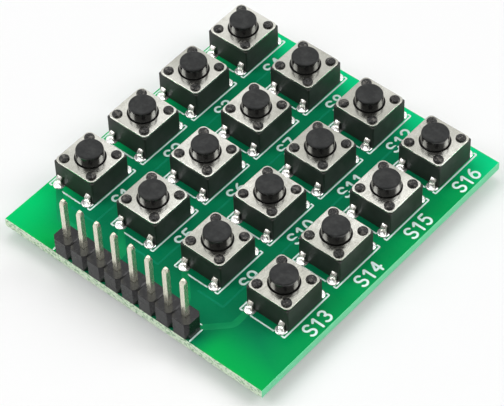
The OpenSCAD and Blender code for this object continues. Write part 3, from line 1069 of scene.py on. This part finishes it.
def strip_finish(header):
    """Black moulding of the header strip, with a little dust."""
    finish = Finish("header plastic", header.strip, specular=0.32)
    dust = finish.spread(finish.grain(0.4 * MM, detail=4.0), 0.0, 0.08, start=0.5, stop=0.8)
    finish.paint(finish.blend(dust, header.strip, header.dust))
    finish.polish(finish.grain(0.6 * MM), 0.18, 0.28)
    finish.emboss(finish.grain(0.07 * MM, detail=2.0), 0.004 * MM)
    return finish.material


class KEYPAD_OT_header(Operator):
    """Models the header's moulded strip and its square pins"""

    bl_idname = "keypad.header"
    bl_label = "Pin Header"

    def execute(self, context):
        header = context.scene.keypad.header
        plastic = strip_finish(header)
        metal = tinned_finish("plated pin", header.pin, metallic=0.86)
        bm = rounded_copy("header_strip", header.strip_round)
        finish_piece(
            "header_moulding", bm, [plastic], FIXED_BODY, ["header_strip"], BOX_AXES
        )
        bm = rounded_copy("header_pins", header.pin_round)
        finish_piece("header_posts", bm, [metal], FIXED_BODY, ["header_pins"], BOX_AXES)
        return {"FINISHED"}


def face_towards(thing, place, target, roll=0.0):
    """Puts a lamp or camera at a place, looking at a target."""
    turn = (target - place).to_track_quat("-Z", "Y") @ Quaternion((0, 0, 1), roll)
    thing.matrix_world = Matrix.LocRotScale(place, turn, None)
    bpy.context.scene.collection.objects.link(thing)


class KEYPAD_OT_stage(Operator):
    """Sets up the floor, the lamps, the world and the camera"""

    bl_idname = "keypad.stage"
    bl_label = "Stage"

    def floor(self, stage):
        """Pale floor that keeps the shadow and is lifted towards white where the camera sees it."""
        bm = bmesh.new()
        bmesh.ops.create_grid(bm, x_segments=1, y_segments=1, size=stage.floor_side / 2)
        mesh = bpy.data.meshes.new("floor")
        bm.to_mesh(mesh)
        bm.free()
        finish = Finish("floor paint", stage.floor, roughness=0.35, specular=0.4)
        white = finish.nodes.new("ShaderNodeEmission")
        camera_ray = finish.nodes.new("ShaderNodeLightPath").outputs["Is Camera Ray"]
        lift = finish.reckon("MULTIPLY", camera_ray, stage.floor_lift)
        finish.show(lift, finish.shader.outputs["BSDF"], white.outputs["Emission"], "Material Output")
        mesh.materials.append(finish.material)
        floor = bpy.data.objects.new("floor", mesh)
        bpy.context.scene.collection.objects.link(floor)

    def world(self, stage):
        """White surroundings that give the object a softer light than they show."""
        world = bpy.data.worlds.new("studio")
        bpy.context.scene.world = world
        tree = Tree(world)
        light, shown = tree.nodes["Background"], tree.nodes.new("ShaderNodeBackground")
        for background in (light, shown):
            background.inputs["Color"].default_value = (1, 1, 1, 1)
        light.inputs["Strength"].default_value = stage.ambient
        across = tree.nodes.new("ShaderNodeVectorMath")
        across.operation = "DOT_PRODUCT"
        across.inputs[1].default_value = (-math.sin(stage.azimuth), math.cos(stage.azimuth), -stage.sky_lean)
        tree.join(tree.nodes.new("ShaderNodeTexCoord").outputs["Generated"], across.inputs[0])
        far = across.outputs["Value"]
        sky = tree.spread(far, stage.near_level, 1.0, stage.sky_start, stage.sky_stop, shape="LINEAR")
        path = tree.nodes.new("ShaderNodeLightPath")
        by_camera = path.outputs["Is Camera Ray"]
        tree.join(tree.reckon("MAXIMUM", by_camera, sky), shown.inputs["Strength"])
        mirrored = tree.reckon("MAXIMUM", path.outputs["Is Glossy Ray"], path.outputs["Is Transmission Ray"])
        seen = tree.reckon("MAXIMUM", by_camera, mirrored)
        tree.show(seen, light.outputs["Background"], shown.outputs["Background"], "World Output")

    def lamp(self, name, place, size, power):
        """A square softbox that looks at the board."""
        light = bpy.data.lights.new(name, "AREA")
        light.size = size
        light.energy = power
        face_towards(bpy.data.objects.new(name, light), Vector(place), Vector((0, 0, BOARD_TOP)))

    def camera(self, stage):
        """Camera at the photograph's viewing angle."""
        data = bpy.data.cameras.new("camera")
        data.lens = stage.lens
        data.sensor_width = stage.sensor
        data.clip_start = stage.clip
        camera = bpy.data.objects.new("camera", data)
        turn, rise = stage.azimuth, stage.elevation
        level = math.cos(rise)
        back = Vector((math.sin(turn) * level, -math.cos(turn) * level, math.sin(rise)))
        aim = Vector(stage.aim)
        face_towards(camera, aim + back * stage.distance, aim, stage.roll)
        bpy.context.scene.camera = camera

    def execute(self, context):
        stage = context.scene.keypad.stage
        context.scene.view_settings.view_transform = "Standard"
        self.floor(stage)
        self.world(stage)
        across = Vector((math.cos(stage.azimuth), math.sin(stage.azimuth), 1.0)) * stage.side_reach
        self.lamp("overhead softbox", stage.key_at, stage.key_size, stage.key_power)
        self.lamp("right softbox", across, stage.side_size, stage.side_power)
        self.lamp("left softbox", (-across.x, -across.y, across.z), stage.side_size, stage.side_power)
        self.camera(stage)
        return {"FINISHED"}


OPERATORS = (
    KEYPAD_OT_board,
    KEYPAD_OT_lines,
    KEYPAD_OT_print,
    KEYPAD_OT_housings,
    KEYPAD_OT_covers,
    KEYPAD_OT_plungers,
    KEYPAD_OT_leads,
    KEYPAD_OT_domes,
    KEYPAD_OT_solder,
    KEYPAD_OT_header,
    KEYPAD_OT_stage,
)


class KEYPAD_PT_panel(Panel):
    """Lists the steps that build the keypad"""

    bl_idname = "KEYPAD_PT_panel"
    bl_label = "Push-Button Keypad"
    bl_space_type = "VIEW_3D"
    bl_region_type = "UI"
    bl_category = "Keypad"

    def draw(self, context):
        for operator in OPERATORS:
            self.layout.operator(operator.bl_idname)


CLASSES = (
    BoardSettings,
    PrintSettings,
    SwitchSettings,
    SolderSettings,
    HeaderSettings,
    StageSettings,
    KeypadSettings,
    *OPERATORS,
    KEYPAD_PT_panel,
)


def register():
    """Registers the classes and hangs the settings on the scene."""
    for cls in CLASSES:
        bpy.utils.register_class(cls)
    bpy.types.Scene.keypad = PointerProperty(type=KeypadSettings)


def unregister():
    """Takes the settings and the classes away again."""
    del bpy.types.Scene.keypad
    for cls in reversed(CLASSES):
        bpy.utils.unregister_class(cls)


def main():
    register()
    bpy.ops.keypad.board()
    bpy.ops.keypad.lines()
    bpy.ops.keypad.print()
    bpy.ops.keypad.housings()
    bpy.ops.keypad.covers()
    bpy.ops.keypad.plungers()
    bpy.ops.keypad.leads()
    bpy.ops.keypad.domes()
    bpy.ops.keypad.solder()
    bpy.ops.keypad.header()
    bpy.ops.keypad.stage()


if __name__ == "__main__":
    main()
